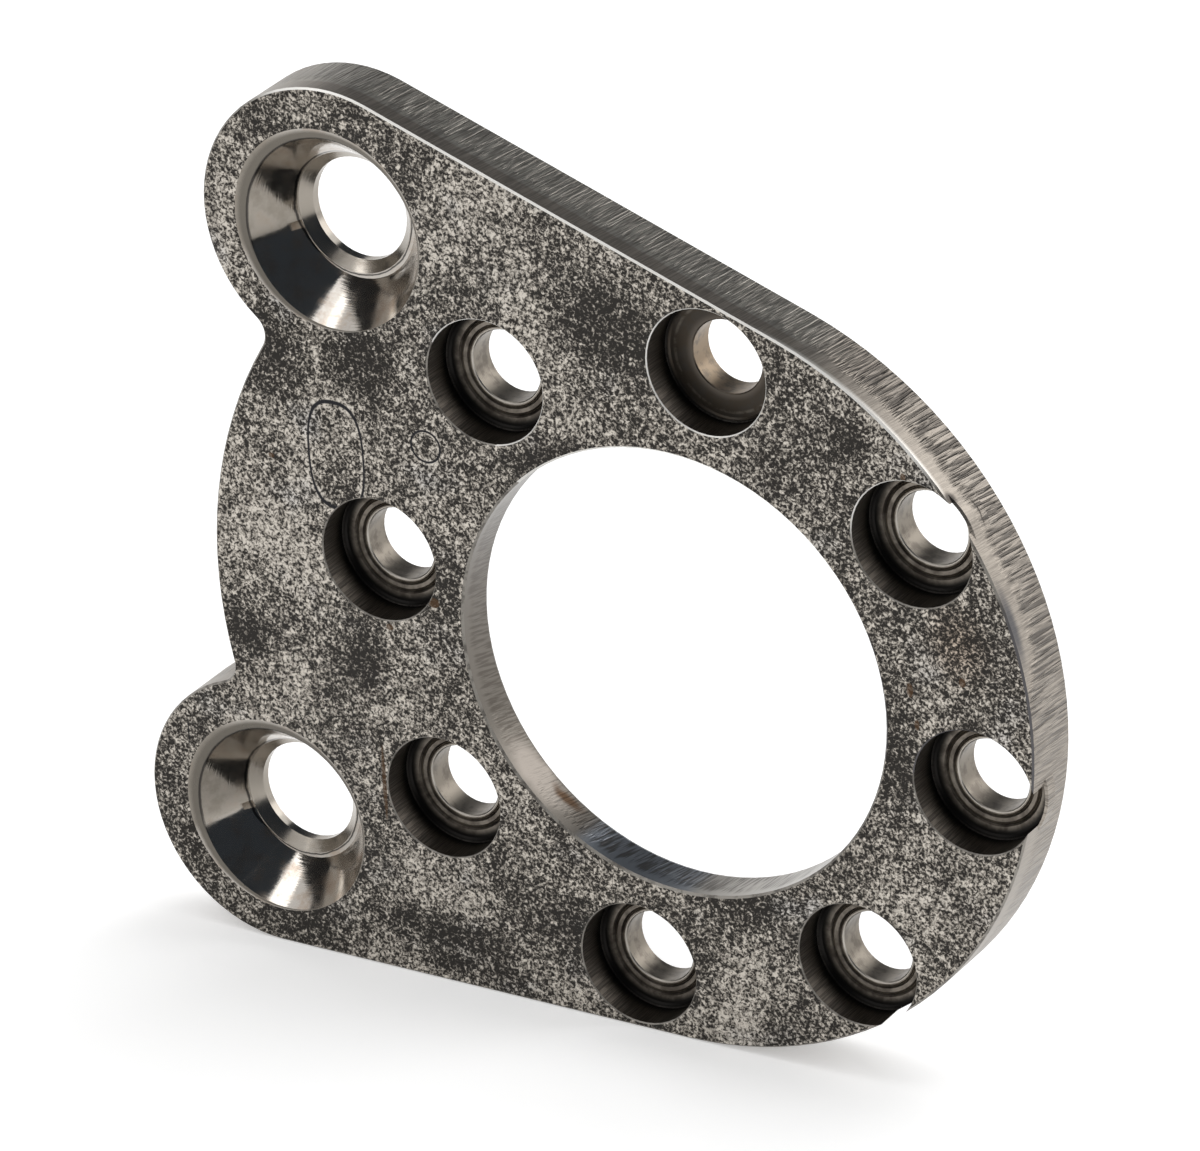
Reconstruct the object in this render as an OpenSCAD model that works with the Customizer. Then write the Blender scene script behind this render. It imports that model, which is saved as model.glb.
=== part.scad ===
// Brake caliper bracket: one flat steel plate, stood on its lower straight edge.
// It is drawn lying flat on its bolting face, with the bore's centre at 0, 0, the two lugs
// toward -X and the round hub end toward +X, and is stood up as the last step.

/* [Plate] */
// Thickness of the plate
plate_t = 9.5; // [9:0.1:14]
// Radius of the round hub end
hub_r = 53.35; // [52.5:0.05:58]
// Distance from the bore's centre to the hub arc's centre, toward the lugs
hub_shift = 0.7; // [0:0.05:2]
// Edge break all round both faces
edge_break = 0.25; // [0.1:0.05:0.6]
// How far the cut outline sits turned from the drilled holes, in degrees
outline_turn = -0.4; // [-2:0.1:2]

/* [Lugs] */
// Distance between the two lug holes
lug_pitch = 88.9; // [82:0.1:96]
// Distance from the bore's centre to the line through the lug holes
lug_reach = 56.6; // [54:0.1:62]
// Radius of the rounded lug ends
lug_r = 19.3; // [17:0.1:22]

/* [Waist between the lugs] */
// Radius of the waist arc
waist_r = 63.3; // [60:0.1:66]
// Distance from the bore's centre to the waist arc's centre, toward the lugs
waist_shift = 6.4; // [4:0.1:9]
// Radius of the fillet where the waist meets each lug
corner_r = 3; // [1.5:0.1:5]

/* [Centre bore] */
// Diameter of the bore
bore_d = 62.8; // [56:0.1:66]
// Diameter of the register recess in the bolting face
register_d = 72; // [68:0.1:76]
// Depth of the register recess
register_depth = 3.6; // [1:0.1:6]
// Edge break at the mouths of the bore and the register
bore_break = 0.3; // [0.1:0.05:0.5]

/* [Bolt holes] */
// Diameter of the bolt circle
bolt_circle_d = 88.9; // [87:0.1:91]
// Number of bolt holes, the first one on the centre line toward the lugs
bolt_count = 8; // [4:1:8]
// Diameter of a bolt hole
bolt_hole_d = 10.1; // [8:0.1:11]
// Diameter of a counterbore
counterbore_d = 17.3; // [14:0.1:18]
// Depth of a counterbore at its wall
counterbore_depth = 5.1; // [2:0.1:6.5]
// How much deeper the counterbore floor lies at the bolt hole than at the wall
floor_fall = 0.35; // [0:0.05:0.8]
// Size of the corner left between the counterbore floor and wall
floor_corner = 0.5; // [0.1:0.05:1]
// Edge break at the mouths of the bolt holes and counterbores
hole_break = 0.15; // [0.05:0.05:0.4]
// Diameter of the outer ring groove in a counterbore floor
outer_groove_d = 13.46; // [12.5:0.02:14.5]
// Diameter of the inner ring groove in a counterbore floor
inner_groove_d = 11.34; // [11:0.02:12]
// Width of a ring groove at the floor
groove_w = 0.4; // [0.2:0.05:0.6]
// Depth of a ring groove
groove_depth = 0.3; // [0.1:0.05:0.6]
// Number of the counterbore whose floor was bored plain, counted round from the lugs
plain_bore = 6; // [0:1:7]

/* [Webs where the counterbores come through the hub end] */
// Thickness of the web pushed out by the counterbore
web_t = 0.3; // [0.2:0.05:0.6]
// Number of the counterbore that a web closes nearly to the front, counted round from the lugs
high_web = 5; // [0:1:7]
// How far below the front face that web ends
high_web_drop = 0.8; // [0.4:0.1:4]
// Number of the counterbore that a torn web half closes
torn_web = 4; // [0:1:7]
// How far below the front face the torn web ends
torn_web_drop = 3; // [0.4:0.1:4]

/* [Lug holes] */
// Diameter of the through hole in a lug
lug_hole_d = 14.3; // [12:0.1:16]
// Diameter of the drilled step above the through hole
lug_step_d = 17; // [16.5:0.1:19]
// Diameter of the conical seat at the front face
seat_d = 26.8; // [24:0.1:30]
// Diameter of the conical seat at its bottom
seat_bottom_d = 17.4; // [17:0.1:20]
// Depth of the conical seat
seat_depth = 6.6; // [4:0.1:7]
// Distance from the lug hole's axis to the seat's axis
seat_offset = 0.6; // [0:0.05:1]
// Direction of that distance, in degrees from +X
seat_offset_angle = -38; // [-180:1:180]
// Diameter of the shallow chamfer round the seat, on the lug hole's axis
rim_d = 28.05; // [25:0.05:31]
// Fall of that chamfer for each unit of radius
rim_slope = 0.4; // [0.1:0.05:0.6]
// Edge break at the back of the lug hole
lug_hole_break = 0.3; // [0.1:0.05:0.6]

/* [Hidden] */
$fn = 144;

// How far each cutter runs past the face it opens
over = 1;
// How far the flanks and fillets cross the arcs that they run into, so that the outline closes
lap = 0.002;
// How far the edge break of a fillet runs on past its ends, in degrees
lap_turn = 6;

// Centres of the three kinds of arc, for the lug on the +Y side
hub_c = [-hub_shift, 0];
lug_c = [-lug_reach, lug_pitch / 2];
waist_c = [-waist_shift, 0];

// The straight flank: tangent to the hub end and to the lug
hub_lug = norm(lug_c - hub_c);
radius_drop = hub_r - lug_r;
flank_angle = atan2(lug_c[1], lug_c[0] - hub_c[0]) + asin(radius_drop / hub_lug);
flank_len = sqrt(hub_lug * hub_lug - radius_drop * radius_drop);
flank_normal = flank_angle - 90;
flank_start = lug_c + (lug_r - lap) * [cos(flank_normal), sin(flank_normal)];
flank_in = (hub_r + lug_r) / 2;

// The fillet: tangent to the waist arc and to the lug
waist_lug = norm(lug_c - waist_c);
fillet_waist = waist_r + corner_r;
fillet_lug = lug_r + corner_r;
fillet_swing = acos((waist_lug * waist_lug + fillet_waist * fillet_waist - fillet_lug * fillet_lug)
                    / (2 * waist_lug * fillet_waist));
fillet_angle = atan2(lug_c[1], lug_c[0] - waist_c[0]) + fillet_swing;
fillet_c = waist_c + fillet_waist * [cos(fillet_angle), sin(fillet_angle)];

// Turn that lays the lower flank level once the plate stands
stand_turn = flank_angle - 180 - outline_turn;

// Direction from the lug's centre to the fillet's
lug_to_fillet = 360 + atan2(fillet_c[1] - lug_c[1], fillet_c[0] - lug_c[0]);

// The same point on one side or the other of the centre line
function on_side(p, side) = [p[0], side * p[1]];

// The same patch on one side or the other, its points always in the same turning sense
function patch_on_side(points, side) =
    side > 0 ? points : [for (i = [len(points) - 1 : -1 : 0]) on_side(points[i], side)];

// A point at a distance from one centre, on the way to another
function toward(start, end, distance) = start + (end - start) * distance / norm(end - start);

// Straight-edged patch between a lug and the hub end, its outer side the flank itself
function flank_patch() =
    let (along = [cos(flank_angle), sin(flank_angle)])
    let (inward = flank_in * [-cos(flank_normal), -sin(flank_normal)])
    [
        flank_start,
        flank_start + inward,
        flank_start - flank_len * along + inward,
        flank_start - flank_len * along
    ];

// Patch under the fillet, its sides running through the fillet's two tangent points
function corner_patch() = [
    fillet_c,
    toward(fillet_c, waist_c, corner_r * 2),
    toward(lug_c, waist_c, (waist_lug - waist_r + lug_r) / 2),
    toward(fillet_c, lug_c, corner_r * 2)
];

// The cut outline
module outline() {
    translate(hub_c)
        circle(r = hub_r);
    intersection() {
        translate(waist_c)
            circle(r = waist_r);
        polygon([[0, 0], 2 * on_side(lug_c, 1), 2 * on_side(lug_c, -1)]);
    }
    for (side = [-1, 1]) {
        translate(on_side(lug_c, side))
            circle(r = lug_r);
        polygon(patch_on_side(flank_patch(), side));
        difference() {
            polygon(patch_on_side(corner_patch(), side));
            translate(on_side(fillet_c, side))
                circle(r = corner_r + lap);
        }
    }
}

// Section that takes a corner off at 45 degrees, for a wall at "at" with air on the side "air"
function break_section(at, air) = [
    [at - air * (edge_break + over), over],
    [at + air * over, over],
    [at + air * over, -edge_break - over]
];

// Edge break along an arc, from one direction to another, on both faces
module arc_break(centre, r, air, first, last) {
    translate(centre) {
        translate([0, 0, plate_t])
            rotate_extrude(start = first, angle = last - first)
                polygon(break_section(r, air));
        rotate_extrude(start = first, angle = last - first)
            polygon([for (p = break_section(r, air)) [p[0], -p[1]]]);
    }
}

// Edge break along the straight flank, on both faces
module flank_break() {
    translate(flank_start)
        rotate([0, 0, flank_angle - 180])
            translate([-over, 0, 0])
                rotate([90, 0, 90])
                    linear_extrude(flank_len + 2 * over) {
                        translate([0, plate_t])
                            polygon(break_section(0, 1));
                        polygon([for (p = break_section(0, 1)) [p[0], -p[1]]]);
                    }
}

// The plate before it is drilled, cut from stock and with its edges broken
module blank() {
    difference() {
        linear_extrude(plate_t)
            outline();
        arc_break(hub_c, hub_r, 1, -flank_normal, flank_normal);
        arc_break(waist_c, waist_r, 1, fillet_angle, 360 - fillet_angle);
        for (side = [0, 1])
            mirror([0, side, 0]) {
                arc_break(lug_c, lug_r, 1, flank_normal, lug_to_fillet);
                arc_break(fillet_c, corner_r + lap, -1, fillet_angle - 180 - lap_turn,
                          lug_to_fillet - 180 + lap_turn);
                flank_break();
            }
    }
}

// Bore that opens into the wider register on the bolting face
module centre_bore() {
    rotate_extrude()
        polygon([
            [0, -over],
            [register_d / 2 + bore_break + over, -over],
            [register_d / 2, bore_break],
            [register_d / 2, register_depth],
            [bore_d / 2, register_depth],
            [bore_d / 2, plate_t - bore_break],
            [bore_d / 2 + bore_break + over, plate_t + over],
            [0, plate_t + over]
        ]);
}

// The place of one bolt hole, counted round from the lugs
module at_bolt(number) {
    rotate([0, 0, 180 + number * 360 / bolt_count])
        translate([bolt_circle_d / 2, 0, 0])
            children();
}

// Thin web round a counterbore that comes through the hub end, faded out toward the back
module web(drop) {
    web_r = counterbore_d / 2 + web_t;
    floor_z = plate_t - counterbore_depth;
    rotate_extrude()
        polygon([
            [0, floor_z - 2 * web_t],
            [web_r - 2 * web_t, floor_z - 2 * web_t],
            [web_r, floor_z],
            [web_r, plate_t - drop - web_t],
            [web_r - web_t, plate_t - drop],
            [0, plate_t - drop]
        ]);
}

// Ring groove in a counterbore floor
module ring_groove(d) {
    wall_z = plate_t - counterbore_depth;
    spread = (groove_depth + over) / groove_depth * groove_w / 2;
    rotate_extrude()
        polygon([
            [d / 2, wall_z - floor_fall - groove_depth],
            [d / 2 + spread, wall_z - floor_fall + over],
            [d / 2 - spread, wall_z - floor_fall + over]
        ]);
}

// Bolt hole with a counterbore in the front face, its floor falling toward the hole
module bolt_hole() {
    hole_r = bolt_hole_d / 2;
    wall_r = counterbore_d / 2;
    wall_z = plate_t - counterbore_depth;
    rotate_extrude()
        polygon([
            [0, -over],
            [hole_r + hole_break + over, -over],
            [hole_r, hole_break],
            [hole_r, wall_z - floor_fall - hole_break],
            [hole_r + hole_break, wall_z - floor_fall],
            [wall_r - floor_corner, wall_z],
            [wall_r, wall_z + floor_corner],
            [wall_r, plate_t - hole_break],
            [wall_r + hole_break + over, plate_t + over],
            [0, plate_t + over]
        ]);
}

// Stepped lug hole: a through hole, a drilled step with a 45 degree shoulder,
// a conical seat turned slightly off the hole's axis and a shallow chamfer round it
module lug_hole() {
    hole_r = lug_hole_d / 2;
    step_r = lug_step_d / 2;
    step_z = plate_t - seat_depth;
    seat_spread = (seat_d - seat_bottom_d) / 2 / seat_depth;
    rotate_extrude()
        polygon([
            [0, -over],
            [hole_r + lug_hole_break + over, -over],
            [hole_r, lug_hole_break],
            [hole_r, step_z - (step_r - hole_r)],
            [step_r, step_z],
            [step_r, plate_t - (rim_d / 2 - step_r) * rim_slope],
            [rim_d / 2 + over / rim_slope, plate_t + over],
            [0, plate_t + over]
        ]);
    translate([seat_offset * cos(seat_offset_angle), seat_offset * sin(seat_offset_angle), step_z])
        cylinder(h = seat_depth + over, r1 = seat_bottom_d / 2,
                 r2 = seat_d / 2 + seat_spread * over);
}

module bracket_plate() {
    color("dimgray")
        rotate([90, 0, 0])
            rotate([0, 0, stand_turn])
                difference() {
                    union() {
                        rotate([0, 0, outline_turn])
                            blank();
                        at_bolt(high_web)
                            web(high_web_drop);
                        at_bolt(torn_web)
                            web(torn_web_drop);
                    }
                    centre_bore();
                    for (i = [0 : bolt_count - 1])
                        at_bolt(i) {
                            bolt_hole();
                            if (i != plain_bore)
                                for (d = [outer_groove_d, inner_groove_d])
                                    ring_groove(d);
                        }
                    for (side = [-1, 1])
                        translate([lug_c[0], side * lug_c[1], 0])
                            lug_hole();
                }
}

bracket_plate();
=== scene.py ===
import math

import bmesh
import bpy
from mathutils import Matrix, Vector
from mathutils.kdtree import KDTree


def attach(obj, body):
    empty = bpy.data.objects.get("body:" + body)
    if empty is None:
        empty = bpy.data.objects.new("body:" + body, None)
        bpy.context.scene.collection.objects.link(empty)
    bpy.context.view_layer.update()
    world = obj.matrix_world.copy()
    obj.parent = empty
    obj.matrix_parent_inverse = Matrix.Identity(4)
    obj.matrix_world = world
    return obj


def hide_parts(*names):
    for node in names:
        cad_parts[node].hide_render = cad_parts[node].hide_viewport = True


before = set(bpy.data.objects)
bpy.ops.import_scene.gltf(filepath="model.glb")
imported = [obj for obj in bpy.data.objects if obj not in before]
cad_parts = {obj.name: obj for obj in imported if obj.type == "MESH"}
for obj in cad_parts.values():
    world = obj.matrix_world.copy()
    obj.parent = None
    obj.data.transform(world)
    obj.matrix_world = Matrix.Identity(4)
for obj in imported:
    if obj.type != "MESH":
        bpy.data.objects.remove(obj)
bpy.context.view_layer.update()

mm = 0.001

# the bracket's own drawing, in millimetres and degrees, flat with the lugs to the left
drawing = {
    "thickness": 9.5,
    "hubRadius": 53.35,
    "hubShift": 0.7,
    "lugPitch": 88.9,
    "lugReach": 56.6,
    "lugRadius": 19.3,
    "waistRadius": 63.3,
    "waistShift": 6.4,
    "cornerRadius": 3.0,
    "outlineTurn": -0.4,
    "outlineStep": 0.25,
    "standTurn": -9.616,
    "boreRadius": 31.4,
    "registerRadius": 36.0,
    "boltCircle": 44.45,
    "boltCount": 8,
    "counterbore": 8.65,
    "rimRadius": 14.03,
    "floorHeight": -53.23,
}


def rotated(x, y, degrees):
    turn = math.radians(degrees)
    return (
        x * math.cos(turn) - y * math.sin(turn),
        x * math.sin(turn) + y * math.cos(turn),
    )


def standUp(x, y):
    # flat drawing to the standing plate's X and Z
    return rotated(x, y, drawing["standTurn"])


boltCentres = []
for count in range(drawing["boltCount"]):
    boltCentres.append(
        standUp(*rotated(-drawing["boltCircle"], 0, count * 360 / drawing["boltCount"]))
    )
lugCentres = [
    standUp(-drawing["lugReach"], drawing["lugPitch"] / 2),
    standUp(-drawing["lugReach"], -drawing["lugPitch"] / 2),
]


def nearest(centres, x, z):
    # distance to the nearest hole's axis, and which hole it is
    away = [math.hypot(x - cx, z - cz) for cx, cz in centres]
    which = away.index(min(away))
    return away[which], which


def outlinePoints():
    # points all the way round the cut edge, with the length walked so far
    d = drawing
    hub = (-d["hubShift"], 0.0)
    lug = (-d["lugReach"], d["lugPitch"] / 2)
    waist = (-d["waistShift"], 0.0)
    gap = math.dist(hub, lug)
    flank = math.atan2(lug[1], lug[0] - hub[0]) + math.asin((d["hubRadius"] - d["lugRadius"]) / gap)
    normal = flank - math.pi / 2
    reach = d["waistRadius"] + d["cornerRadius"]
    fromLug = d["lugRadius"] + d["cornerRadius"]
    span = math.dist(waist, lug)
    swung = math.acos((span**2 + reach**2 - fromLug**2) / (2 * span * reach))
    bearing = math.atan2(lug[1], lug[0] - waist[0]) + swung
    fillet = (waist[0] + reach * math.cos(bearing), reach * math.sin(bearing))
    toFillet = math.atan2(fillet[1] - lug[1], fillet[0] - lug[0]) + 2 * math.pi

    def arc(centre, radius, first, last):
        steps = max(2, int(abs(last - first) * radius / d["outlineStep"]))
        angles = [first + (last - first) * i / steps for i in range(steps)]
        return [
            (centre[0] + radius * math.cos(angle), centre[1] + radius * math.sin(angle))
            for angle in angles
        ]

    def line(start, end):
        steps = max(2, int(math.dist(start, end) / d["outlineStep"]))
        return [
            (
                start[0] + (end[0] - start[0]) * i / steps,
                start[1] + (end[1] - start[1]) * i / steps,
            )
            for i in range(steps)
        ]

    def onFlank(centre, radius):
        return (centre[0] + radius * math.cos(normal), centre[1] + radius * math.sin(normal))

    half = arc(hub, d["hubRadius"], 0, normal)
    half += line(onFlank(hub, d["hubRadius"]), onFlank(lug, d["lugRadius"]))
    half += arc(lug, d["lugRadius"], normal, toFillet)
    half += arc(fillet, d["cornerRadius"], toFillet - math.pi, bearing - math.pi)
    half += arc(waist, d["waistRadius"], bearing, math.pi)
    whole = half + [(x, -y) for x, y in reversed(half[1:])]
    points, walked = [], 0.0
    for index, (x, y) in enumerate(whole):
        if index:
            walked += math.dist(whole[index - 1], (x, y))
        points.append((standUp(*rotated(x, y, d["outlineTurn"])), walked))
    return points


outline = outlinePoints()
outlineLength = outline[-1][1]
outlineTree = KDTree(len(outline))
for index, (point, walked) in enumerate(outline):
    outlineTree.insert((point[0], 0, point[1]), index)
outlineTree.balance()
print("outline walked,", round(outlineLength), "mm round")


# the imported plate's own shape, sorted into the surfaces that were made differently
surfaces = ["face", "cutEdge", "brokenEdge", "bore", "boltHole", "lugSeat", "back"]

# where one surface ends and the next begins: millimetres, and how far a polygon faces front or back
sorting = {
    "skin": 0.1,
    "boltSlack": 0.12,
    "insideBolt": 7.8,
    "webTopsFrom": 8.3,  # flat polygons farther out are the tops of the thin webs
    "seatSlack": 0.1,
    "seatHeights": (0.3, 9.2),
    "boreSlack": 0.4,
    "boreMouth": 0.3,
    "backBreak": 0.2,
    "edgeBreak": 0.4,
    "flat": 0.7,
    "level": 0.98,
    "sloping": 0.3,
    "looking": -0.05,
}


def surfaceOf(centre, normal):
    x, y, z = (value / mm for value in centre)
    height, thickness = -y, drawing["thickness"]
    fromBolt, bolt = nearest(boltCentres, x, z)
    fromLug, lug = nearest(lugCentres, x, z)
    facing = abs(normal.y)
    flat = facing > sorting["flat"]
    within = sorting["skin"] < height < thickness - sorting["skin"]

    def looksAt(hole, away):
        cx, cz = hole
        return (normal.x * (x - cx) + normal.z * (z - cz)) / max(away, 0.01) < sorting["looking"]

    if fromBolt < drawing["counterbore"] + sorting["boltSlack"] and within:
        # the outer cut edge passes this close to the bolts too
        floor = flat and fromBolt < sorting["webTopsFrom"]
        if floor or fromBolt < sorting["insideBolt"] or looksAt(boltCentres[bolt], fromBolt):
            return "boltHole"
    if fromLug < drawing["rimRadius"] + sorting["seatSlack"]:
        low, high = sorting["seatHeights"]
        if looksAt(lugCentres[lug], fromLug) or (flat and low < height < high):
            return "lugSeat"
    if math.hypot(x, z) < drawing["registerRadius"] + sorting["boreSlack"]:
        inBore = not flat or height > sorting["backBreak"]
        if inBore and height < thickness - sorting["boreMouth"]:
            return "bore"
    if facing > sorting["level"] and not within:
        return "face" if normal.y < 0 else "back"
    if facing > sorting["sloping"]:
        if not sorting["edgeBreak"] < height < thickness - sorting["edgeBreak"]:
            return "brokenEdge"
    return "cutEdge"


def turned(x, z, centre, towards):
    # angle round a hole, kept on the same side as the middle of its face
    angle = math.atan2(z - centre[1], x - centre[0])
    while angle - towards > math.pi:
        angle -= 2 * math.pi
    while angle - towards < -math.pi:
        angle += 2 * math.pi
    return angle


def walkedTo(x, z, near):
    # length round the outline, kept on the same side of its start as a place near by
    along = outline[outlineTree.find((x, 0, z))[1]][1]
    if along - near > outlineLength / 2:
        along -= outlineLength
    if near - along > outlineLength / 2:
        along += outlineLength
    return along


# corners within this many metres become one, and edges turned by this many degrees stay sharp
shading = {"weldWithin": 0.000001, "sharpFrom": 24}


def copyPlate():
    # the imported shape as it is, with its doubled corners welded so that it shades evenly
    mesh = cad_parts["bracket_plate"].data.copy()
    mesh.name = "plate"
    mesh.materials.clear()
    if "custom_normal" in mesh.attributes:
        mesh.attributes.remove(mesh.attributes["custom_normal"])
    welded = bmesh.new()
    welded.from_mesh(mesh)
    bmesh.ops.remove_doubles(welded, verts=welded.verts, dist=shading["weldWithin"])
    welded.to_mesh(mesh)
    welded.free()
    mesh.shade_smooth()
    mesh.set_sharp_from_angle(angle=math.radians(shading["sharpFrom"]))
    plate = bpy.data.objects.new("plate", mesh)
    bpy.context.collection.objects.link(plate)
    return plate


def unwrapPlate(plate):
    # wrapped: millimetres round the hole or the edge, and height off the back face
    # ringed: distance from the hole's axis, and the hole's number
    mesh = plate.data
    wrapped = mesh.uv_layers.new(name="wrapped")
    ringed = mesh.uv_layers.new(name="ringed")
    for polygon in mesh.polygons:
        kind = surfaceOf(polygon.center, polygon.normal)
        polygon.material_index = surfaces.index(kind)
        x, z = polygon.center.x / mm, polygon.center.z / mm
        centre, number, radius = (0.0, 0.0), 0, drawing["boreRadius"]
        if kind == "boltHole":
            number = nearest(boltCentres, x, z)[1]
            centre, radius = boltCentres[number], drawing["counterbore"]
        if kind == "lugSeat":
            number = nearest(lugCentres, x, z)[1]
            centre, radius = lugCentres[number], drawing["rimRadius"]
        middle = math.atan2(z - centre[1], x - centre[0])
        walkedMiddle = outline[outlineTree.find((x, 0, z))[1]][1]
        for corner in polygon.loop_indices:
            place = mesh.vertices[mesh.loops[corner].vertex_index].co / mm
            away = math.hypot(place.x - centre[0], place.z - centre[1])
            if kind in ("cutEdge", "brokenEdge"):
                along = walkedTo(place.x, place.z, walkedMiddle)
            else:
                along = turned(place.x, place.z, centre, middle) * radius
            wrapped.data[corner].uv = (along, -place.y)
            ringed.data[corner].uv = (away, number)


plate = copyPlate()
unwrapPlate(plate)
print("plate sorted,", len(plate.data.polygons), "faces")


# small helpers for the materials
def startMaterial(name):
    material = bpy.data.materials.new(name)
    material.use_nodes = True
    tree = material.node_tree
    shader = tree.nodes["Principled BSDF"]
    return material, tree, shader


def join(tree, source, target):
    if isinstance(source, bpy.types.NodeSocket):
        tree.links.new(source, target)
    else:
        target.default_value = source


def calculate(tree, operation, a, b=0.0):
    node = tree.nodes.new("ShaderNodeMath")
    node.operation = operation
    join(tree, a, node.inputs[0])
    join(tree, b, node.inputs[1])
    return node.outputs[0]


def plus(tree, *terms):
    result = terms[0]
    for term in terms[1:]:
        result = calculate(tree, "ADD", result, term)
    return result


def minus(tree, a, b):
    return calculate(tree, "SUBTRACT", a, b)


def product(tree, *factors):
    result = factors[0]
    for factor in factors[1:]:
        result = calculate(tree, "MULTIPLY", result, factor)
    return result


def strongest(tree, patches):
    result = patches[0]
    for patch in patches[1:]:
        result = calculate(tree, "MAXIMUM", result, patch)
    return result


def gapTo(tree, value, mark):
    return calculate(tree, "ABSOLUTE", minus(tree, value, mark))


def swing(tree, noise, reach):
    # noise turned into a sway to both sides
    return product(tree, minus(tree, noise, 0.5), reach)


def between(tree, value, low, high, out=(0.0, 1.0), smooth=True):
    node = tree.nodes.new("ShaderNodeMapRange")
    node.interpolation_type = "SMOOTHSTEP" if smooth else "LINEAR"
    join(tree, value, node.inputs["Value"])
    node.inputs["From Min"].default_value = low
    node.inputs["From Max"].default_value = high
    node.inputs["To Min"].default_value = out[0]
    node.inputs["To Max"].default_value = out[1]
    return node.outputs["Result"]


def band(tree, value, low, high, soft):
    # 1 between low and high, fading over the soft width outside both
    up = between(tree, value, low - soft, low)
    down = between(tree, value, high + soft, high)
    return product(tree, up, down)


def blendColours(tree, amount, first, second, mode="MIX"):
    node = tree.nodes.new("ShaderNodeMix")
    node.data_type = "RGBA"
    node.blend_type = mode
    join(tree, amount, node.inputs["Factor"])
    join(tree, first, node.inputs["A"])
    join(tree, second, node.inputs["B"])
    return node.outputs["Result"]


def stretched(tree, source, scale, offset=(0, 0, 0)):
    node = tree.nodes.new("ShaderNodeMapping")
    tree.links.new(source, node.inputs["Vector"])
    node.inputs["Scale"].default_value = scale
    node.inputs["Location"].default_value = offset
    return node.outputs["Vector"]


def grain(tree, vector, scale=1.0, detail=2.0, roughness=0.5, distortion=0.0):
    node = tree.nodes.new("ShaderNodeTexNoise")
    tree.links.new(vector, node.inputs["Vector"])
    node.inputs["Scale"].default_value = scale
    node.inputs["Detail"].default_value = detail
    node.inputs["Roughness"].default_value = roughness
    node.inputs["Distortion"].default_value = distortion
    return node.outputs["Fac"]


def inMillimetres(tree):
    node = tree.nodes.new("ShaderNodeTexCoord")
    return stretched(tree, node.outputs["Object"], (1000, 1000, 1000))


def ownNormal(tree):
    node = tree.nodes.new("ShaderNodeTexCoord")
    return node.outputs["Normal"]


def unwrapped(tree, name):
    node = tree.nodes.new("ShaderNodeUVMap")
    node.uv_map = name
    return node.outputs["UV"]


def split(tree, vector):
    node = tree.nodes.new("ShaderNodeSeparateXYZ")
    tree.links.new(vector, node.inputs[0])
    return node.outputs


def combined(tree, x, y):
    node = tree.nodes.new("ShaderNodeCombineXYZ")
    join(tree, x, node.inputs[0])
    join(tree, y, node.inputs[1])
    return node.outputs[0]


def stripes(tree, along, height, pitch, run, **noise):
    # noise drawn out into stripes through the plate's depth; a small run makes them long
    across = calculate(tree, "DIVIDE", along, pitch)
    return grain(tree, combined(tree, across, product(tree, height, run)), **noise)


def turnedMarks(tree, along, height, across, run, **noise):
    # noise drawn out round a hole, as a cutter leaves it
    return grain(tree, combined(tree, product(tree, height, across), product(tree, along, run)), **noise)


def wandering(tree, along, scale):
    # slow noise along an edge, the same through its depth
    return grain(tree, combined(tree, product(tree, along, scale), 0.0))


def raised(tree, height, distance, normal=None):
    node = tree.nodes.new("ShaderNodeBump")
    node.inputs["Distance"].default_value = distance
    tree.links.new(height, node.inputs["Height"])
    if normal:
        tree.links.new(normal, node.inputs["Normal"])
    return node.outputs["Normal"]


def scaled(tree, x, y, middle, halfSize):
    # a place seen from the middle of an oval, in half sizes
    across = calculate(tree, "DIVIDE", minus(tree, x, middle[0]), halfSize[0])
    upward = calculate(tree, "DIVIDE", minus(tree, y, middle[1]), halfSize[1])
    return across, upward


def spot(tree, x, y, middle, halfSize, soft=0.5):
    # an oval patch, 1 at its middle and 0 outside
    across, upward = scaled(tree, x, y, middle, halfSize)
    squares = plus(tree, calculate(tree, "POWER", across, 2.0), calculate(tree, "POWER", upward, 2.0))
    return between(tree, calculate(tree, "SQRT", squares), 1.0 + soft, 1.0 - soft)


def spots(tree, x, y, marks, soft=0.5):
    return strongest(tree, [spot(tree, x, y, middle, halfSize, soft) for middle, halfSize in marks])


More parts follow.
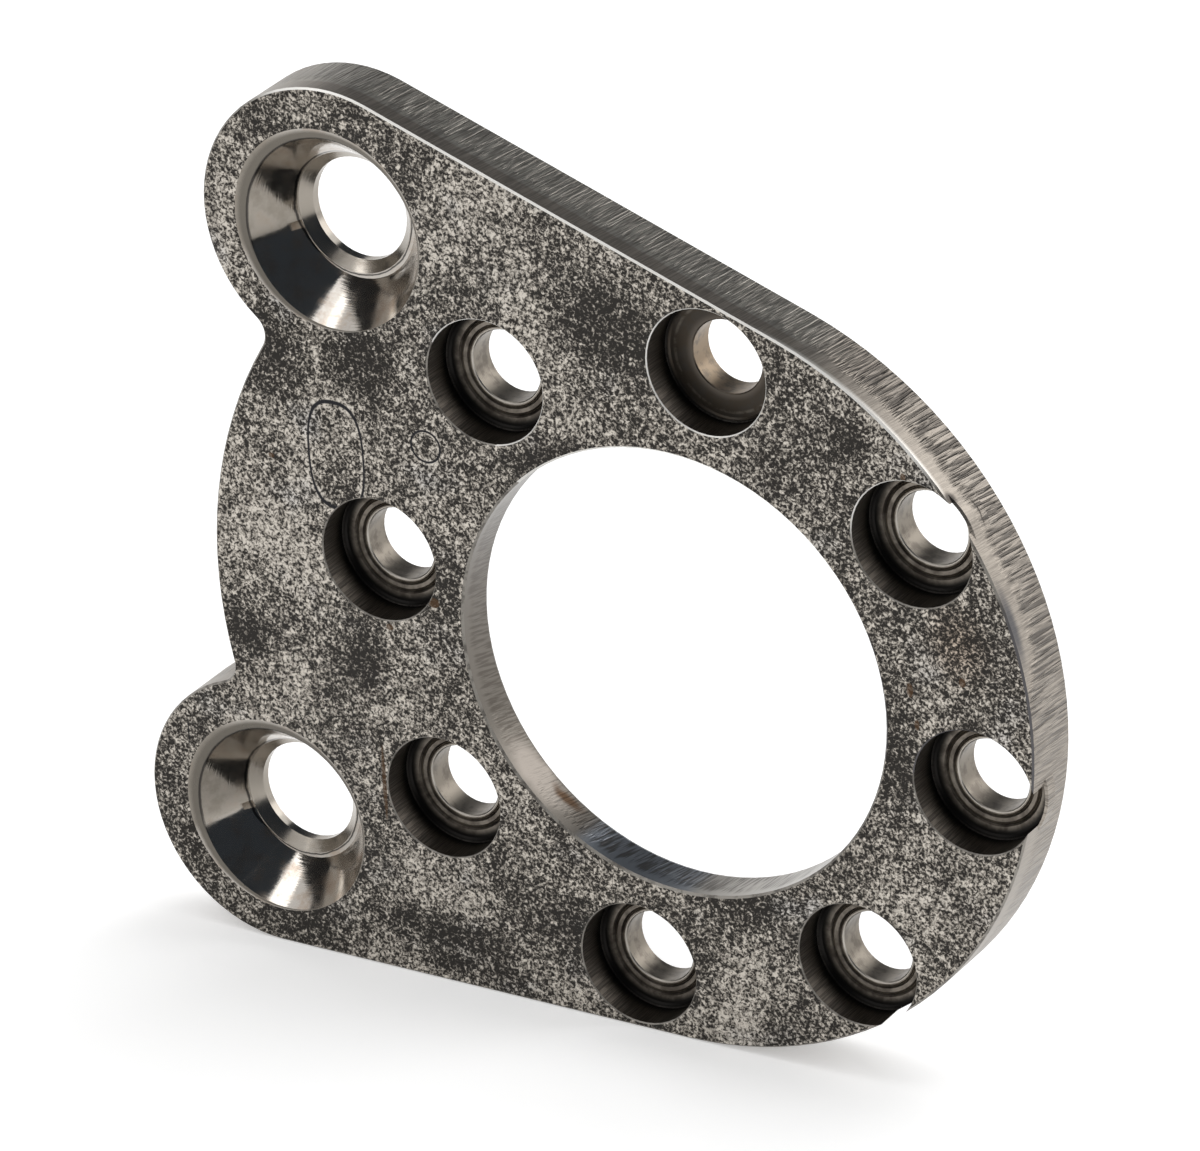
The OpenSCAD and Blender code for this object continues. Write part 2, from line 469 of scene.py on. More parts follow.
# the flat faces: dark scale with pale flecks, clouded, with a few marks, in millimetres
mottle = {
    "dark": (0.021, 0.018, 0.015, 1),
    "middle": (0.25, 0.225, 0.192, 1),
    "pale": (0.66, 0.61, 0.54, 1),
    "rust": (0.075, 0.036, 0.012, 1),
    "line": (0.010, 0.010, 0.013, 1),
    "coolTint": (0.85, 0.95, 1.15, 1),
    "brownTint": (0.85, 0.66, 0.52, 1),
    "fleckScale": 2.3,
    "patchScale": 0.75,
    "cloudScale": 0.085,
    "coolScale": 0.11,
    "coolShift": (40, 0, 9),
    "patchWeight": 0.34,
    "cloudWeight": 0.27,
    "blotchWeight": 0.19,
    "paleWeight": 0.09,
    "burrWeight": 0.05,
    "coolWeight": 0.35,
    "rustWeight": 0.8,
    "brownWeight": 0.45,
    "darker": 0.008,
    "fleckLevels": (0.42, 0.56),
    "brightLevels": (0.50, 0.66),
    "patchLevels": (0.36, 0.62),
    "patchBrightness": (0.60, 1.0),
    "coolLevels": (0.55, 0.75),
    "rustLevels": (0.30, 0.55),
    "rustSpread": 0.15,
    "softArea": 0.8,
    "blotches": [
        ((-58.5, 34.6), (5, 6)),
        ((-44.5, 36.5), (5, 5)),
        ((-9.0, 49.0), (7, 5)),
        ((-47.0, -8.0), (3, 4)),
        ((-3.0, 45.0), (8, 4)),
        ((10.0, -31.5), (4, 3)),
        ((-13.0, -41.0), (12, 5)),
        ((-40.0, 7.0), (7, 5)),
        ((-65.5, -7.0), (4, 4)),
        ((-66.0, -40.0), (14, 4)),
        ((-36.0, -46.0), (8, 2.5)),
        ((-59.0, -49.0), (6, 4)),
        ((31.0, -3.0), (5, 9)),
        ((27.5, 38.5), (3, 3)),
        ((-30.0, 38.0), (4, 4)),
        ((-36.9, -50.1), (4, 1.5)),
        ((-7.9, 45.5), (4, 4)),
        ((-17.5, 25.5), (6, 4)),
    ],
    "paleAreas": [
        ((-63.5, 8.0), (4, 12)),
        ((-29.3, 59.6), (7, 5)),
        ((-19.2, 52.5), (8, 5)),
        ((40.0, -22.0), (6, 10)),
        ((8.0, -45.0), (5, 6)),
        ((39.0, -2.0), (3, 5)),
        ((-44.6, 13.0), (3, 7)),
        ((-57.0, -13.0), (3, 4)),
        ((-25.2, 53.4), (6, 5)),
        ((-61.5, 55.3), (6, 8)),
        ((-54.5, 14.0), (4, 6)),
    ],
    "rustSpots": [
        ((-45.4, -25.6), (0.35, 6.0)),
        ((-35.8, 2.9), (1.0, 0.8)),
        ((-42.8, -2.1), (0.6, 0.5)),
        ((35.4, 34.8), (0.4, 0.7)),
        ((35.2, 5.3), (0.5, 1.2)),
        ((42.8, 7.9), (0.5, 0.7)),
        ((36.0, 0.5), (0.4, 0.8)),
        ((-59.5, 19.4), (0.5, 0.4)),
    ],
    "scratch": ((-76.3, -24.7), (0.10, 1.9)),
    "brownArea": ((42.5, 13.0), (3.5, 4.5)),
    "ovalRing": ((-49.4, 21.3), (4.2, 7.6), 2.7),  # middle, half size and squareness
    "smallRing": ((-35.4, 25.3), (2.2, 2.2), 2.0),
    "ringWidths": (0.21, 0.105),
    "burrBand": (0.15, 0.45, 0.1),
    "metal": 0.65,
    "roughness": (0.52, 0.40),
    "relief": 0.00003,
}


def ringGap(tree, x, z, middle, halfSize, squareness):
    # how far a place lies from an etched ring; a squareness above 2 flattens its sides
    powers = []
    for share in scaled(tree, x, z, middle, halfSize):
        powers.append(calculate(tree, "POWER", calculate(tree, "ABSOLUTE", share), squareness))
    away = calculate(tree, "POWER", plus(tree, *powers), 1 / squareness)
    return product(tree, gapTo(tree, away, 1.0), halfSize[0])


def makeMottledFace(name, marked):
    material, tree, shader = startMaterial(name)
    place = inMillimetres(tree)
    x, _, z = split(tree, place)
    fine = grain(tree, place, mottle["fleckScale"], detail=3.0, roughness=0.60, distortion=0.6)
    patch = grain(tree, place, mottle["patchScale"])
    clouds = grain(tree, place, mottle["cloudScale"], detail=3.0, roughness=0.6)
    level = plus(tree, fine, swing(tree, patch, mottle["patchWeight"]))
    level = minus(tree, level, mottle["darker"])
    level = plus(tree, level, swing(tree, clouds, mottle["cloudWeight"]))
    if marked:
        blots = spots(tree, x, z, mottle["blotches"], mottle["softArea"])
        level = minus(tree, level, product(tree, blots, clouds, mottle["blotchWeight"]))
        pales = spots(tree, x, z, mottle["paleAreas"], mottle["softArea"])
        level = plus(tree, level, product(tree, pales, clouds, mottle["paleWeight"]))
        rings = [ringGap(tree, x, z, *mottle[ring]) for ring in ("ovalRing", "smallRing")]
        gap = calculate(tree, "MINIMUM", *rings)
        burr = band(tree, gap, *mottle["burrBand"])
        level = plus(tree, level, product(tree, burr, mottle["burrWeight"]))
    fleck = between(tree, level, *mottle["fleckLevels"])
    bright = between(tree, level, *mottle["brightLevels"])
    patchBright = between(tree, patch, *mottle["patchLevels"], mottle["patchBrightness"])
    colour = blendColours(tree, fleck, mottle["dark"], mottle["middle"])
    colour = blendColours(tree, product(tree, bright, patchBright), colour, mottle["pale"])
    cool = grain(tree, stretched(tree, place, (1, 1, 1), mottle["coolShift"]), mottle["coolScale"])
    cooled = product(tree, between(tree, cool, *mottle["coolLevels"]), mottle["coolWeight"])
    colour = blendColours(tree, cooled, colour, mottle["coolTint"], "MULTIPLY")
    if marked:
        etched = between(tree, gap, *mottle["ringWidths"])
        colour = blendColours(tree, etched, colour, mottle["line"])
        ragged = plus(tree, patch, mottle["rustSpread"])
        rusty = product(tree, spots(tree, x, z, mottle["rustSpots"]), ragged)
        rusty = product(tree, between(tree, rusty, *mottle["rustLevels"]), mottle["rustWeight"])
        colour = blendColours(tree, rusty, colour, mottle["rust"])
        brown = spot(tree, x, z, *mottle["brownArea"], mottle["softArea"])
        brown = product(tree, brown, mottle["brownWeight"])
        colour = blendColours(tree, brown, colour, mottle["brownTint"], "MULTIPLY")
        scratch = spot(tree, x, z, *mottle["scratch"])
        colour = blendColours(tree, scratch, colour, mottle["line"])
    join(tree, colour, shader.inputs["Base Color"])
    shader.inputs["Metallic"].default_value = mottle["metal"]
    join(tree, between(tree, fleck, 0, 1, mottle["roughness"]), shader.inputs["Roughness"])
    join(tree, raised(tree, fleck, mottle["relief"]), shader.inputs["Normal"])
    return material


# the cut edge all round: smooth near the front, torn and striped toward the back
# a stretch is where it starts and ends along the edge, and how wide it fades
cut = {
    "clean": (0.37, 0.33, 0.285, 1),
    "trough": (0.085, 0.075, 0.066, 1),
    "flankTone": (0.42, 0.395, 0.35, 1),
    "flankFront": (0.27, 0.235, 0.20, 1),
    "darkBlueReflection": (0.045, 0.050, 0.065, 1),
    "glint": (0.85, 0.82, 0.77, 1),
    "lean": -0.10,
    "coarsePitch": 0.42,
    "coarseRun": 0.13,
    "finePitch": 0.17,
    "fineRun": 0.22,
    "wanderScale": 0.45,
    "borderWander": 2.2,
    "borderStripes": 4.0,
    "crackWander": 0.9,
    "tornHeights": (7.1, 4.9),
    "reachingFrom": (23, 16),
    "reachingHeight": 3.4,
    "tornStretch": (14, 62, 9),
    "tornDepth": (0.35, 0.85),
    "ridgeLevels": (0.34, 0.54),
    "lineLevels": (0.60, 0.42),
    "lineDepth": (0.38, 0.55),
    "flankStretch": (74, 146, 8),
    "flankFrontHeights": (6.6, 7.2),
    "flankFrontWeight": 0.8,
    "darkBlueReflectionSpot": ((26.5, 8.8), (4.5, 0.9), 0.7),
    "darkBlueReflectionWeight": 0.75,
    "glintStretch": (50, 72, 8),
    "glintHeights": (8.5, 9.4),
    "glintWeight": 0.8,
    "openingShade": ((44.5, 8.6), (0.9, 0.8)),
    "crack": ((41.0, 5.7), (1.9, 0.13)),
    "metal": 0.9,
    "roughLevels": (0.3, 0.7),
    "roughness": (0.30, 0.42),
    "ridgeRelief": 0.00022,
    "ridgeStrength": (0.25, 1.0),
    "fineRelief": 0.00006,
    "fineStrength": (0.3, 1.0),
}


def makeCutEdge(name):
    material, tree, shader = startMaterial(name)
    along, height, _ = split(tree, unwrapped(tree, "wrapped"))
    leaning = plus(tree, along, product(tree, height, cut["lean"]))
    coarse = stripes(
        tree, leaning, height, cut["coarsePitch"], cut["coarseRun"],
        detail=1.5, roughness=0.45, distortion=0.15,
    )
    fine = stripes(tree, leaning, height, cut["finePitch"], cut["fineRun"])
    wander = wandering(tree, along, cut["wanderScale"])
    # each stripe ends at its own height, and toward the lower right they reach the front face
    border = plus(tree, height, swing(tree, wander, cut["borderWander"]))
    border = plus(tree, border, swing(tree, coarse, cut["borderStripes"]))
    reaching = between(tree, along, *cut["reachingFrom"], (0.0, cut["reachingHeight"]))
    torn = between(tree, minus(tree, border, reaching), *cut["tornHeights"])
    strong = band(tree, along, *cut["tornStretch"])
    flank = band(tree, along, *cut["flankStretch"])
    ridged = between(tree, coarse, *cut["ridgeLevels"])
    # painted light and shade: the top flank gets its own tone for how it is lit, darker toward the front
    tone = blendColours(tree, flank, cut["clean"], cut["flankTone"])
    front = between(tree, height, *cut["flankFrontHeights"])
    front = product(tree, flank, front, cut["flankFrontWeight"])
    tone = blendColours(tree, front, tone, cut["flankFront"])
    depth = between(tree, strong, 0, 1, cut["tornDepth"])
    shade = product(tree, torn, minus(tree, 1.0, ridged), depth)
    tone = blendColours(tree, shade, tone, cut["trough"])
    lined = between(tree, fine, *cut["lineLevels"])
    lined = product(tree, lined, between(tree, torn, 0, 1, cut["lineDepth"]))
    tone = blendColours(tree, lined, tone, cut["trough"])
    # a painted dark blue reflection near the front edge
    darkBlueReflection = product(tree, spot(tree, along, height, *cut["darkBlueReflectionSpot"]), cut["darkBlueReflectionWeight"])
    tone = blendColours(tree, darkBlueReflection, tone, cut["darkBlueReflection"])
    shining = between(tree, height, *cut["glintHeights"])
    shining = product(tree, band(tree, along, *cut["glintStretch"]), shining, cut["glintWeight"])
    tone = blendColours(tree, shining, tone, cut["glint"])
    jagged = plus(tree, height, swing(tree, wander, cut["crackWander"]))
    crack = spot(tree, along, jagged, *cut["crack"])
    # a dark crack, and painted shade where the thin web has a small opening
    hollow = strongest(tree, [spot(tree, along, height, *cut["openingShade"]), crack])
    tone = blendColours(tree, hollow, tone, cut["trough"])
    join(tree, tone, shader.inputs["Base Color"])
    shader.inputs["Metallic"].default_value = cut["metal"]
    rough = between(tree, fine, *cut["roughLevels"], cut["roughness"])
    join(tree, rough, shader.inputs["Roughness"])
    strength = between(tree, torn, 0, 1, cut["fineStrength"])
    scored = raised(tree, product(tree, fine, strength), cut["fineRelief"])
    strength = between(tree, strong, 0, 1, cut["ridgeStrength"])
    ridges = raised(tree, product(tree, ridged, torn, strength), cut["ridgeRelief"], scored)
    join(tree, ridges, shader.inputs["Normal"])
    return material


# the corners taken off all round both faces, worn bright in places, with a painted highlight along one
# stretch and a painted dark reflection along another
brokenEdge = {
    "bright": (0.30, 0.28, 0.25, 1),
    "dull": (0.13, 0.118, 0.103, 1),
    "dark": (0.10, 0.095, 0.10, 1),
    "paintedHighlight": (0.88, 0.86, 0.82, 1),
    "wearScale": 0.5,
    "wearLevels": (0.36, 0.56),
    "paintedDarkReflectionStretch": (-4, 26, 6),
    "paintedHighlightStretch": (52, 150, 6),
    "metal": 0.3,
    "roughness": 0.45,
}


def makeBrokenEdge(name):
    material, tree, shader = startMaterial(name)
    worn = grain(tree, inMillimetres(tree), brokenEdge["wearScale"], detail=4.0, roughness=0.7)
    worn = between(tree, worn, *brokenEdge["wearLevels"])
    along, _, _ = split(tree, unwrapped(tree, "wrapped"))
    tone = blendColours(tree, worn, brokenEdge["dull"], brokenEdge["bright"])
    # two stretches painted: a dark reflection and a highlight
    for stretch, colour in (("paintedDarkReflectionStretch", "dark"), ("paintedHighlightStretch", "paintedHighlight")):
        there = band(tree, along, *brokenEdge[stretch])
        tone = blendColours(tree, there, tone, brokenEdge[colour])
    join(tree, tone, shader.inputs["Base Color"])
    shader.inputs["Metallic"].default_value = brokenEdge["metal"]
    shader.inputs["Roughness"].default_value = brokenEdge["roughness"]
    return material


# the centre bore: sawn stripes toward the back, stained in places, over a plain turned recess
bore = {
    "steel": (0.38, 0.36, 0.33, 1),
    "trough": (0.08, 0.068, 0.057, 1),
    "left": (0.15, 0.135, 0.117, 1),
    "pale": (0.23, 0.205, 0.18, 1),
    "rust": (0.075, 0.045, 0.026, 1),
    "cool": (0.30, 0.32, 0.35, 1),
    "pitch": 0.40,
    "run": 0.2,
    "lean": 0.20,
    "stepHeight": 3.7,
    "recessHeights": (3.65, 3.8),
    "wanderScale": 0.3,
    "borderWander": 2.0,
    "borderStripes": 3.0,
    "tornHeights": (8.3, 6.9),
    "troughLevels": (0.58, 0.40),
    "troughWeight": 0.75,
    "leftStretch": (66, 110, 8),
    "coolStretch": (-64, -50, 3),
    "stainWander": 3.0,
    "paleSpot": ((-75.5, 6.5), (5.5, 2.4), 0.4),
    "rustSpot": ((-70.8, 5.0), (2.3, 0.8), 0.6),
    "metal": 0.93,
    "roughness": 0.30,
    "relief": 0.00007,
}


def makeBore(name):
    material, tree, shader = startMaterial(name)
    along, height, _ = split(tree, unwrapped(tree, "wrapped"))
    overStep = calculate(tree, "MAXIMUM", height, bore["stepHeight"])
    leaning = plus(tree, along, product(tree, overStep, bore["lean"]))
    coarse = stripes(tree, leaning, height, bore["pitch"], bore["run"])
    wander = wandering(tree, along, bore["wanderScale"])
    border = plus(tree, height, swing(tree, wander, bore["borderWander"]))
    border = plus(tree, border, swing(tree, coarse, bore["borderStripes"]))
    torn = between(tree, border, *bore["tornHeights"])
    torn = product(tree, torn, between(tree, height, *bore["recessHeights"]))
    # the left side is the same above and below the middle
    left = band(tree, calculate(tree, "ABSOLUTE", along), *bore["leftStretch"])
    tone = blendColours(tree, left, bore["steel"], bore["left"])
    tone = blendColours(tree, band(tree, along, *bore["coolStretch"]), tone, bore["cool"])
    deep = product(tree, torn, between(tree, coarse, *bore["troughLevels"]), bore["troughWeight"])
    tone = blendColours(tree, deep, tone, bore["trough"])
    frayed = plus(tree, height, swing(tree, wander, bore["stainWander"]))
    tone = blendColours(tree, spot(tree, along, frayed, *bore["paleSpot"]), tone, bore["pale"])
    tone = blendColours(tree, spot(tree, along, frayed, *bore["rustSpot"]), tone, bore["rust"])
    join(tree, tone, shader.inputs["Base Color"])
    shader.inputs["Metallic"].default_value = bore["metal"]
    shader.inputs["Roughness"].default_value = bore["roughness"]
    join(tree, raised(tree, product(tree, coarse, torn), bore["relief"]), shader.inputs["Normal"])
    return material


# the counterbored bolt holes: dark cutter marks inside, painted shade in the corner where the wall meets
# the floor, a bright lip round the drilled hole
# a ring's edge is given as two distances from the bolt's axis
boltHole = {
    "drilled": (0.23, 0.203, 0.168, 1),
    "wall": (0.11, 0.094, 0.078, 1),
    "chatter": (0.050, 0.043, 0.036, 1),
    "warm": (0.26, 0.20, 0.14, 1),
    "floor": (0.24, 0.212, 0.178, 1),
    "paintedShade": (0.012, 0.011, 0.010, 1),
    "lip": (0.60, 0.56, 0.50, 1),
    "plainFloor": (0.050, 0.040, 0.030, 1),
    "plainNumber": (5.8, 6.2, 0.1),  # takes in hole 6, counted from 0, whose floor is plain
    "patchScale": 0.6,
    "chatterPitch": 0.12,
    "chatterRun": 0.15,
    "chatterLevels": (0.42, 0.60),
    "turningAcross": 7.0,
    "turningRun": 0.08,
    "turningBlots": 0.3,
    "blotLevels": (0.44, 0.66),
    "blotDepth": (0.0, 0.7),
    "wallEdge": (8.35, 8.5),
    "paintedShadeHeights": (6.8, 5.0),
    "paintedShadeWeight": 0.92,
    "floorLevels": (0.35, 0.65),
    "grooves": (6.73, 5.67),
    "grooveWidths": (0.24, 0.08),
    "paintedShadeEdge": (7.0, 8.0),
    "lipEdge": (5.36, 5.22),
    "plainLevels": (0.40, 0.65),
    "plainEdge": (6.2, 5.0),
    "faintRing": 7.5,
    "faintWidths": (0.3, 0.05),
    "faintLevels": (0.40, 0.60),
    "faintWeight": 0.35,
    "floorHeights": (3.85, 4.0),
    "metal": 0.88,
    "roughness": 0.36,
    "turningHeight": 0.06,
    "relief": 0.00006,
}


def groovedFloor(tree, away, patchy):
    # a counterbore's floor: two real grooves painted black as their shade, painted shade toward the
    # wall, a bright lip at the hole
    blotched = between(tree, patchy, *boltHole["floorLevels"])
    floor = blendColours(tree, blotched, boltHole["floor"], boltHole["wall"])
    for middle in boltHole["grooves"]:
        groove = between(tree, gapTo(tree, away, middle), *boltHole["grooveWidths"])
        floor = blendColours(tree, groove, floor, boltHole["paintedShade"])
    floor = blendColours(tree, between(tree, away, *boltHole["paintedShadeEdge"]), floor, boltHole["paintedShade"])
    return blendColours(tree, between(tree, away, *boltHole["lipEdge"]), floor, boltHole["lip"])


def plainFloor(tree, away, patchy):
    # the one counterbore that was bored plain: dark, with one faint ring
    blotched = between(tree, patchy, *boltHole["plainLevels"])
    floor = blendColours(tree, blotched, boltHole["plainFloor"], boltHole["chatter"])
    faint = between(tree, gapTo(tree, away, boltHole["faintRing"]), *boltHole["faintWidths"])
    broken = between(tree, patchy, *boltHole["faintLevels"])
    faint = product(tree, faint, broken, boltHole["faintWeight"])
    floor = blendColours(tree, faint, floor, boltHole["drilled"])
    return blendColours(tree, between(tree, away, *boltHole["plainEdge"]), floor, boltHole["wall"])


def makeBoltHole(name):
    material, tree, shader = startMaterial(name)
    along, height, _ = split(tree, unwrapped(tree, "wrapped"))
    away, number, _ = split(tree, unwrapped(tree, "ringed"))
    patchy = grain(tree, inMillimetres(tree), boltHole["patchScale"], detail=3.0, roughness=0.6)
    chatter = stripes(
        tree, along, height, boltHole["chatterPitch"], boltHole["chatterRun"], detail=1.0, roughness=0.4
    )
    turning = turnedMarks(tree, along, height, boltHole["turningAcross"], boltHole["turningRun"])
    plain = band(tree, number, *boltHole["plainNumber"])
    drilled = blendColours(tree, plain, boltHole["drilled"], boltHole["warm"])
    blotted = plus(tree, patchy, swing(tree, turning, boltHole["turningBlots"]))
    blotted = between(tree, blotted, *boltHole["blotLevels"], boltHole["blotDepth"])
    drilled = blendColours(tree, blotted, drilled, boltHole["wall"])
    chattered = between(tree, chatter, *boltHole["chatterLevels"])
    wall = blendColours(tree, chattered, boltHole["chatter"], boltHole["wall"])
    # painted shade low on the wall, toward the corner at the floor
    low = product(tree, between(tree, height, *boltHole["paintedShadeHeights"]), boltHole["paintedShadeWeight"])
    wall = blendColours(tree, low, wall, boltHole["paintedShade"])
    floor = blendColours(tree, plain, groovedFloor(tree, away, patchy), plainFloor(tree, away, patchy))
    onWall = between(tree, away, *boltHole["wallEdge"], smooth=False)
    inCounterbore = between(tree, height, *boltHole["floorHeights"], smooth=False)
    tone = blendColours(tree, onWall, floor, wall)
    tone = blendColours(tree, inCounterbore, drilled, tone)
    join(tree, tone, shader.inputs["Base Color"])
    shader.inputs["Metallic"].default_value = boltHole["metal"]
    shader.inputs["Roughness"].default_value = boltHole["roughness"]
    marks = product(tree, chatter, onWall, inCounterbore)
    marks = plus(tree, marks, product(tree, turning, boltHole["turningHeight"]))
    join(tree, raised(tree, marks, boltHole["relief"]), shader.inputs["Normal"])
    return material


# the conical seats in the lugs: turned bright, with a stain on the left darkened further as a painted
# dim reflection, a rim painted darker as a dim reflection, and scored lines
lugSeat = {
    "bright": (0.46, 0.43, 0.392, 1),
    "dull": (0.33, 0.30, 0.26, 1),
    "scored": (0.03, 0.028, 0.027, 1),
    "stain": (0.34, 0.25, 0.18, 1),
    "paintedDimRim": (0.15, 0.136, 0.116, 1),
    "stainAndDimReflection": (0.215, 0.192, 0.160, 1),
    "cloudScale": 0.35,
    "turningAcross": 5.0,
    "turningRun": 0.03,
    "scratchAcross": 2.2,
    "scratchRun": 0.35,
    "stainLevels": (0.45, 0.70),
    "stainWeight": 0.55,
    "scratchLevels": (0.60, 0.78),
    "scratchWeight": 0.35,
    "stainAndDimReflectionStretches": [(32, 45, 5), (-45, -40, 1.5)],
    "stainAndDimReflectionLevels": (0.30, 0.60),
    "stainAndDimReflectionDepth": (0.95, 0.65),
    "stepEdge": (8.75, 8.45),
    "stepWeight": 0.8,
    "stepLine": 8.72,
    "stepLineWidths": (0.16, 0.04),
    "stepLineWeight": 0.9,
    "fraying": 0.5,
    "rimFacing": (0.88, 0.96, 0.03),
    "rimHeights": (6.0, 6.5),
    "seatEdge": 13.15,  # mean radius where the chamfer meets the seat
    "seatEdgeShift": 0.84,  # how much that radius grows toward the side the seat leans to
    "seatLean": -47.6,  # the direction of that side, in degrees
    "seatLineWidths": (0.19, 0.07),
    "seatLineSides": (-0.15, -0.55),
    "seatLineFraying": 0.6,
    "seatLineWeight": 0.85,
    "metal": 0.97,
    "polishLevels": (0.35, 0.70),
    "polish": (0.07, 0.16),
    "rimRoughness": 0.2,
    "stepRoughness": 0.08,
    "relief": 0.000005,
}


def makeLugSeat(name):
    material, tree, shader = startMaterial(name)
    along, height, _ = split(tree, unwrapped(tree, "wrapped"))
    away, _, _ = split(tree, unwrapped(tree, "ringed"))
    cloudy = grain(tree, inMillimetres(tree), lugSeat["cloudScale"], detail=4.0, roughness=0.65)
    turning = turnedMarks(tree, along, height, lugSeat["turningAcross"], lugSeat["turningRun"])
    scratchy = turnedMarks(
        tree, along, height, lugSeat["scratchAcross"], lugSeat["scratchRun"], detail=3.0, roughness=0.7
    )
    tone = blendColours(
        tree, between(tree, cloudy, *lugSeat["stainLevels"]), lugSeat["bright"], lugSeat["stain"]
    )
    tone = blendColours(tree, lugSeat["stainWeight"], lugSeat["bright"], tone)
    scratched = between(tree, scratchy, *lugSeat["scratchLevels"])
    scratched = product(tree, scratched, lugSeat["scratchWeight"])
    tone = blendColours(tree, scratched, tone, lugSeat["dull"])
    # on the left a stain, darkened further as a painted dim reflection
    stainedAndDimmed = strongest(tree, [band(tree, along, *stretch) for stretch in lugSeat["stainAndDimReflectionStretches"]])
    thickness = between(tree, cloudy, *lugSeat["stainAndDimReflectionLevels"], lugSeat["stainAndDimReflectionDepth"])
    tone = blendColours(tree, product(tree, stainedAndDimmed, thickness), tone, lugSeat["stainAndDimReflection"])
    step = between(tree, away, *lugSeat["stepEdge"])
    tone = blendColours(tree, product(tree, step, lugSeat["stepWeight"]), tone, lugSeat["dull"])
    frayed = swing(tree, cloudy, lugSeat["fraying"])
    toStep = gapTo(tree, plus(tree, away, frayed), lugSeat["stepLine"])
    stepLine = between(tree, toStep, *lugSeat["stepLineWidths"])
    stepLine = product(tree, stepLine, lugSeat["stepLineWeight"])
    tone = blendColours(tree, stepLine, tone, lugSeat["scored"])
    # the shallow chamfer round the seat faces forward more than the seat does; it is painted darker, a
    # painted dim reflection
    facing = calculate(tree, "ABSOLUTE", split(tree, ownNormal(tree))[1])
    paintedDimRim = band(tree, facing, *lugSeat["rimFacing"])
    paintedDimRim = product(tree, paintedDimRim, between(tree, height, *lugSeat["rimHeights"]))
    tone = blendColours(tree, paintedDimRim, tone, lugSeat["paintedDimRim"])
    # a broken dark line where the chamfer meets the off-axis seat, on the chamfer's wide side
    around = calculate(tree, "DIVIDE", along, drawing["rimRadius"])
    around = minus(tree, around, math.radians(lugSeat["seatLean"]))
    sideways = calculate(tree, "COSINE", around)
    seatEdge = plus(tree, product(tree, sideways, lugSeat["seatEdgeShift"]), lugSeat["seatEdge"])
    ragged = plus(tree, away, product(tree, frayed, lugSeat["seatLineFraying"]))
    seatLine = between(tree, gapTo(tree, ragged, seatEdge), *lugSeat["seatLineWidths"])
    wideSide = between(tree, sideways, *lugSeat["seatLineSides"])
    seatLine = product(tree, seatLine, wideSide, lugSeat["seatLineWeight"])
    tone = blendColours(tree, seatLine, tone, lugSeat["scored"])
    join(tree, tone, shader.inputs["Base Color"])
    shader.inputs["Metallic"].default_value = lugSeat["metal"]
    polished = between(tree, cloudy, *lugSeat["polishLevels"], lugSeat["polish"])
    polished = plus(tree, polished, product(tree, paintedDimRim, lugSeat["rimRoughness"]))
    polished = plus(tree, polished, product(tree, step, lugSeat["stepRoughness"]))
    join(tree, polished, shader.inputs["Roughness"])
    join(tree, raised(tree, turning, lugSeat["relief"]), shader.inputs["Normal"])
    return material


finishes = {
    "face": makeMottledFace("mottledFace", True),
    "cutEdge": makeCutEdge("cutEdge"),
    "brokenEdge": makeBrokenEdge("brokenEdge"),
    "bore": makeBore("boreSteel"),
    "boltHole": makeBoltHole("boltHoleSteel"),
    "lugSeat": makeLugSeat("lugSeatSteel"),
    "back": makeMottledFace("mottledBack", False),
}
for kind in surfaces:
    plate.data.materials.append(finishes[kind])
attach(plate, "root")
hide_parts("bracket_plate")
print("finishes on")

# floor, lamps and the dark cards that only the steel mirrors, in metres
room = {
    "floorColour": (0.9, 0.9, 0.9, 1),
    "floorHalf": 4.0,
    "floorGlow": 0.31,
    "worldColour": (1, 1, 1, 1),
    "worldLight": 0.60,
    "cardColour": (0.022, 0.033, 0.048, 1),
    "lamps": {
        "sideBox": {"place": (-0.20, -0.11, 0.42), "size": (0.12, 0.36), "power": 0.26},
        "backBox": {"place": (0.78, 1.00, 0.66), "size": (1.1, 0.9), "power": 4.8},
        "topBox": {"place": (0.25, 0.35, 1.10), "size": (0.8, 0.8), "power": 4.9},
    },
    "unmirrored": ["topBox"],
    "cards": {
        "frontCard": {"place": (1.20, -0.95, 0.90), "size": (2.8, 2.1)},
        "overheadCard": {"place": (0.15, 0.10, 1.60), "size": (1.9, 1.8)},
        "backCard": {"place": (-0.20, 1.25, 1.15), "size": (2.2, 1.0)},
        "sideCard": {"place": (-1.30, 0.10, 0.72), "size": (0.9, 0.17)},
    },
}


def seenOrMirrored(tree):
    path = tree.nodes.new("ShaderNodeLightPath")
    return strongest(tree, [path.outputs["Is Camera Ray"], path.outputs["Is Glossy Ray"]])


def flatSheet(name, x, y, height, material):
    # a level rectangle reaching x and y to each side of its middle
    mesh = bpy.data.meshes.new(name)
    corners = [(-x, -y, height), (x, -y, height), (x, y, height), (-x, y, height)]
    mesh.from_pydata(corners, [], [(0, 1, 2, 3)])
    mesh.materials.append(material)
    sheet = bpy.data.objects.new(name, mesh)
    bpy.context.collection.objects.link(sheet)
    return sheet


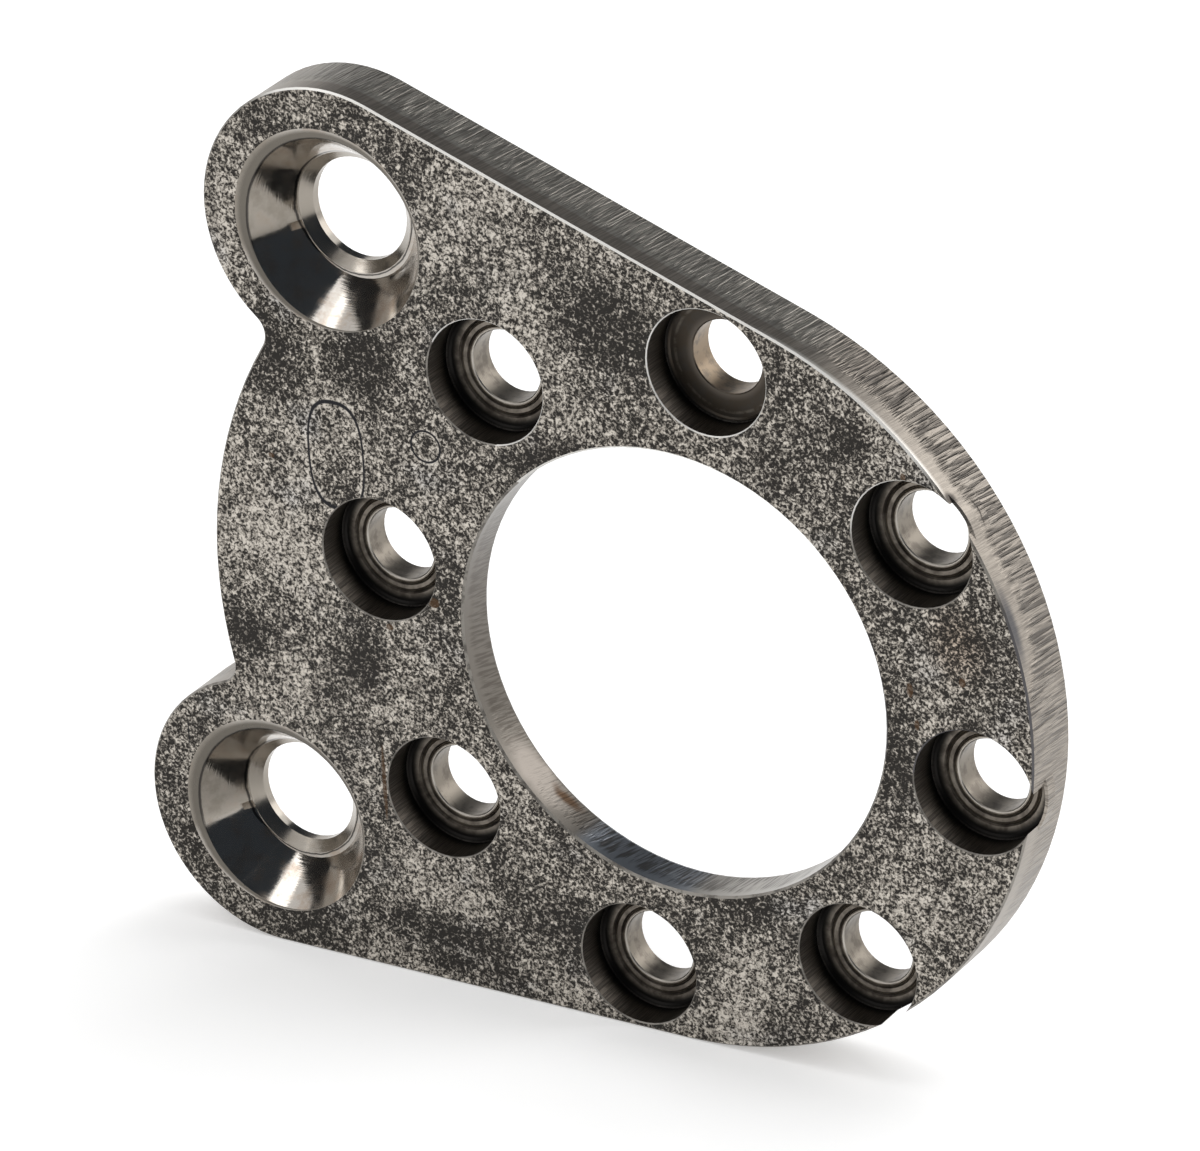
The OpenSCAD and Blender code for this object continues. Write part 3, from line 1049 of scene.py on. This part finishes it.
def makeFloor():
    material, tree, shader = startMaterial("floorPaper")
    shader.inputs["Base Color"].default_value = room["floorColour"]
    shader.inputs["Roughness"].default_value = 1.0
    shader.inputs["Specular IOR Level"].default_value = 0.0
    glow = tree.nodes.new("ShaderNodeEmission")
    join(tree, product(tree, seenOrMirrored(tree), room["floorGlow"]), glow.inputs["Strength"])
    both = tree.nodes.new("ShaderNodeAddShader")
    tree.links.new(shader.outputs[0], both.inputs[0])
    tree.links.new(glow.outputs[0], both.inputs[1])
    tree.links.new(both.outputs[0], tree.nodes["Material Output"].inputs["Surface"])
    half = room["floorHalf"]
    floor = flatSheet("floor", half, half, drawing["floorHeight"] * mm, material)


def makeWorld():
    world = bpy.data.worlds.new("studio")
    world.use_nodes = True
    bpy.context.scene.world = world
    tree = world.node_tree
    background = tree.nodes["Background"]
    background.inputs["Color"].default_value = room["worldColour"]
    light = between(tree, seenOrMirrored(tree), 0, 1, (room["worldLight"], 1.0))
    join(tree, light, background.inputs["Strength"])


def turnedToPlate(place):
    return (-Vector(place)).to_track_quat("-Z", "Y").to_euler()


def softBox(name, place, size, power):
    light = bpy.data.lights.new(name, "AREA")
    light.shape = "RECTANGLE"
    light.size, light.size_y = size
    light.energy = power
    lamp = bpy.data.objects.new(name, light)
    bpy.context.collection.objects.link(lamp)
    lamp.location = place
    lamp.rotation_euler = turnedToPlate(place)
    lamp.visible_glossy = name not in room["unmirrored"]


def mirroredCard(name, place, size):
    material, _, shader = startMaterial(name + "Paper")
    shader.inputs["Base Color"].default_value = room["cardColour"]
    shader.inputs["Roughness"].default_value = 1.0
    card = flatSheet(name, size[0] / 2, size[1] / 2, 0, material)
    card.location = place
    card.rotation_euler = turnedToPlate(place)
    card.visible_camera = False
    card.visible_diffuse = False
    card.visible_shadow = False


makeFloor()
makeWorld()
for name, lamp in room["lamps"].items():
    softBox(name, **lamp)
for name, card in room["cards"].items():
    mirroredCard(name, **card)
print("room lit")

# the photograph's own view: place in metres, turn in degrees, lens and sensor in millimetres
camera = {
    "place": (0.5268, -0.85425, 0.4936),
    "turn": (64.270, 2.964, 31.004),
    "lens": 260.35,
    "sensor": 36.0,
    "nearest": 0.05,
}


def placeCamera():
    view = bpy.data.cameras.new("photoView")
    view.lens = camera["lens"]
    view.sensor_width = camera["sensor"]
    view.clip_start = camera["nearest"]
    viewer = bpy.data.objects.new("photoView", view)
    viewer.location = camera["place"]
    viewer.rotation_euler = [math.radians(angle) for angle in camera["turn"]]
    bpy.context.collection.objects.link(viewer)
    bpy.context.scene.camera = viewer
    bpy.context.scene.view_settings.view_transform = "Standard"


placeCamera()
print("camera placed")
